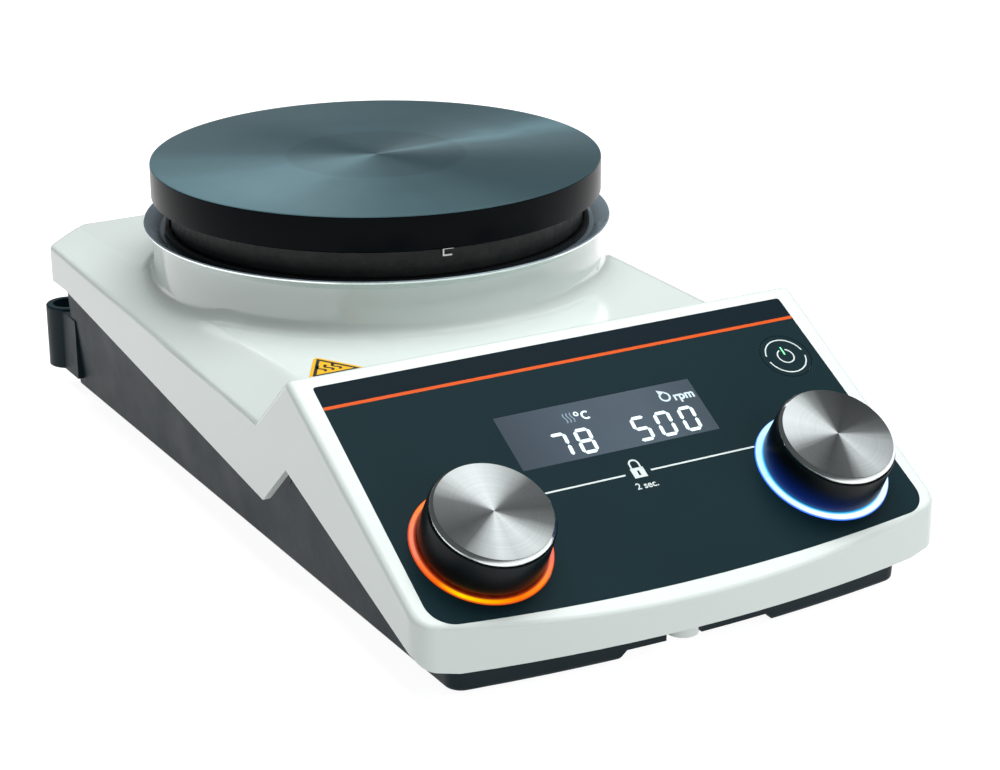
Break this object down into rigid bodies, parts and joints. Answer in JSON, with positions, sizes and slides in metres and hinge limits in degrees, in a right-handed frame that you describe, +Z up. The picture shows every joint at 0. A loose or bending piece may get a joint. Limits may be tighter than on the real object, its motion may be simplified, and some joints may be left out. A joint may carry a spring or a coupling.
{
  "type": "magnetic stirrer",
  "caption": "Bench magnetic stirrer with a round heating plate on a steel trim ring, sloping control panel with display, two push-and-turn knobs, and a support rod holder at the back.",
  "frame": {"origin": "middle of the footprint, on the plane the feet stand on", "axes": "+X to the operator's right, +Y towards the back, +Z up along the heating plate's axis"},
  "size_m": [0.169, 0.309, 0.0954],
  "materials": {
    "cover_white": "smooth glossy cool off-white moulding",
    "housing_plastic": "fine-textured dark slate moulding",
    "overlay_film": "satin charcoal film",
    "display_glass": "clear display lens",
    "display_black": "display module face",
    "board_green": "solder-masked board",
    "component_black": "moulded component cases",
    "steel_screw": "zinc plated steel",
    "light_warm": "translucent light guide, lit orange",
    "light_cool": "translucent light guide, lit cool white",
    "plate_coated": "dark ceramic coated aluminium, turned lay showing through",
    "trim_steel": "polished stainless steel",
    "seal_rubber": "smooth black silicone",
    "pan_speckled": "dark grey speckled enamel",
    "insulation": "pressed mineral fibre",
    "heater_metal": "cast-in heating element",
    "motor_metal": "plated steel",
    "winding_copper": "varnished copper winding",
    "bracket_aluminium": "milled aluminium",
    "foot_rubber": "soft black rubber",
    "pin_brass": "plain brass",
    "sticker_yellow": "printed label",
    "knob_black": "satin black moulding",
    "cap_steel": "spun stainless steel"
  },
  "bodies": {
    "housing": {"base_housing": "housing_plastic", "top_cover": "cover_white", "front_overlay": "overlay_film", "display_window": "display_glass", "display_module": "display_black", "display_board": "board_green", "display_board_screws": "steel_screw", "main_board": "board_green", "main_board_screws": "steel_screw", "board_components": "component_black", "temp_light_ring": "light_warm", "temp_encoder_body": "component_black", "speed_light_ring": "light_cool", "speed_encoder_body": "component_black", "power_switch": "component_black", "heating_plate": "plate_coated", "trim_ring": "trim_steel", "plate_seal": "seal_rubber", "plate_pan": "pan_speckled", "insulation_disc": "insulation", "heater_element": "heater_metal", "plate_sensor": "steel_screw", "plate_standoffs": "steel_screw", "standoff_nuts": "steel_screw", "plate_clips": "steel_screw", "motor_housing": "motor_metal", "motor_bearings": "steel_screw", "motor_stator": "winding_copper", "motor_bracket": "bracket_aluminium", "bracket_screws": "steel_screw", "motor_screws": "steel_screw", "rubber_feet": "foot_rubber", "housing_screws": "steel_screw", "power_inlet": "housing_plastic", "inlet_pins": "pin_brass", "mains_switch_frame": "housing_plastic", "sensor_socket": "component_black", "rod_holder": "housing_plastic", "rod_holder_screws": "steel_screw", "warning_sticker": "sticker_yellow"},
    "temp_plunger": {"temp_encoder_plunger": "steel_screw"},
    "temp_knob": {"temp_knob_body": "knob_black", "temp_knob_cap": "cap_steel", "temp_encoder_shaft": "steel_screw"},
    "speed_plunger": {"speed_encoder_plunger": "steel_screw"},
    "speed_knob": {"speed_knob_body": "knob_black", "speed_knob_cap": "cap_steel", "speed_encoder_shaft": "steel_screw"},
    "power_key": {"power_button": "overlay_film"},
    "stir_rotor": {"motor_shaft": "steel_screw", "motor_rotor": "motor_metal", "magnet_carrier": "bracket_aluminium", "stir_magnets": "motor_metal"},
    "rocker": {"mains_rocker": "component_black"},
    "clamp_pad": {"rod_clamp_pad": "pin_brass"},
    "clamp_screw": {"rod_clamp_screw": "knob_black"}
  },
  "joints": [
    {"name": "temp_knob_push", "type": "slide", "parent": "housing", "child": "temp_plunger", "axis": [0, 0.4939, -0.8695], "range_m": [0, 0.0006], "stiffness_N_per_m": 1500},
    {"name": "temp_knob_turn", "type": "hinge", "parent": "temp_plunger", "child": "temp_knob", "pos_m": [-0.0556, -0.1306, 0.04155], "axis": [0, -0.4939, 0.8695], "continuous": true},
    {"name": "speed_knob_push", "type": "slide", "parent": "housing", "child": "speed_plunger", "axis": [0, 0.4939, -0.8695], "range_m": [0, 0.0006], "stiffness_N_per_m": 1500},
    {"name": "speed_knob_turn", "type": "hinge", "parent": "speed_plunger", "child": "speed_knob", "pos_m": [0.0556, -0.1306, 0.04155], "axis": [0, -0.4939, 0.8695], "continuous": true},
    {"name": "power_button_press", "type": "slide", "parent": "housing", "child": "power_key", "axis": [0, 0.4939, -0.8695], "range_m": [0, 0.0005], "stiffness_N_per_m": 800},
    {"name": "stir_drive_spin", "type": "hinge", "parent": "housing", "child": "stir_rotor", "pos_m": [0, 0.0425, 0.062], "axis": [0, 0, 1], "continuous": true},
    {"name": "mains_rocker_tilt", "type": "hinge", "parent": "housing", "child": "rocker", "pos_m": [-0.002, 0.1325, 0.024], "axis": [1, 0, 0], "range_deg": [0, 16]},
    {"name": "rod_clamp_advance", "type": "slide", "parent": "housing", "child": "clamp_pad", "axis": [-1, 0, 0], "range_m": [0, 0.0015]},
    {"name": "rod_clamp_turn", "type": "hinge", "parent": "clamp_pad", "child": "clamp_screw", "pos_m": [-0.0546, 0.147, 0.016], "axis": [-1, 0, 0], "range_deg": [0, 541]}
  ],
  "couplings": [
    {"joint": "rod_clamp_turn", "follows": "rod_clamp_advance", "rad_per_m": 6283.2}
  ]
}
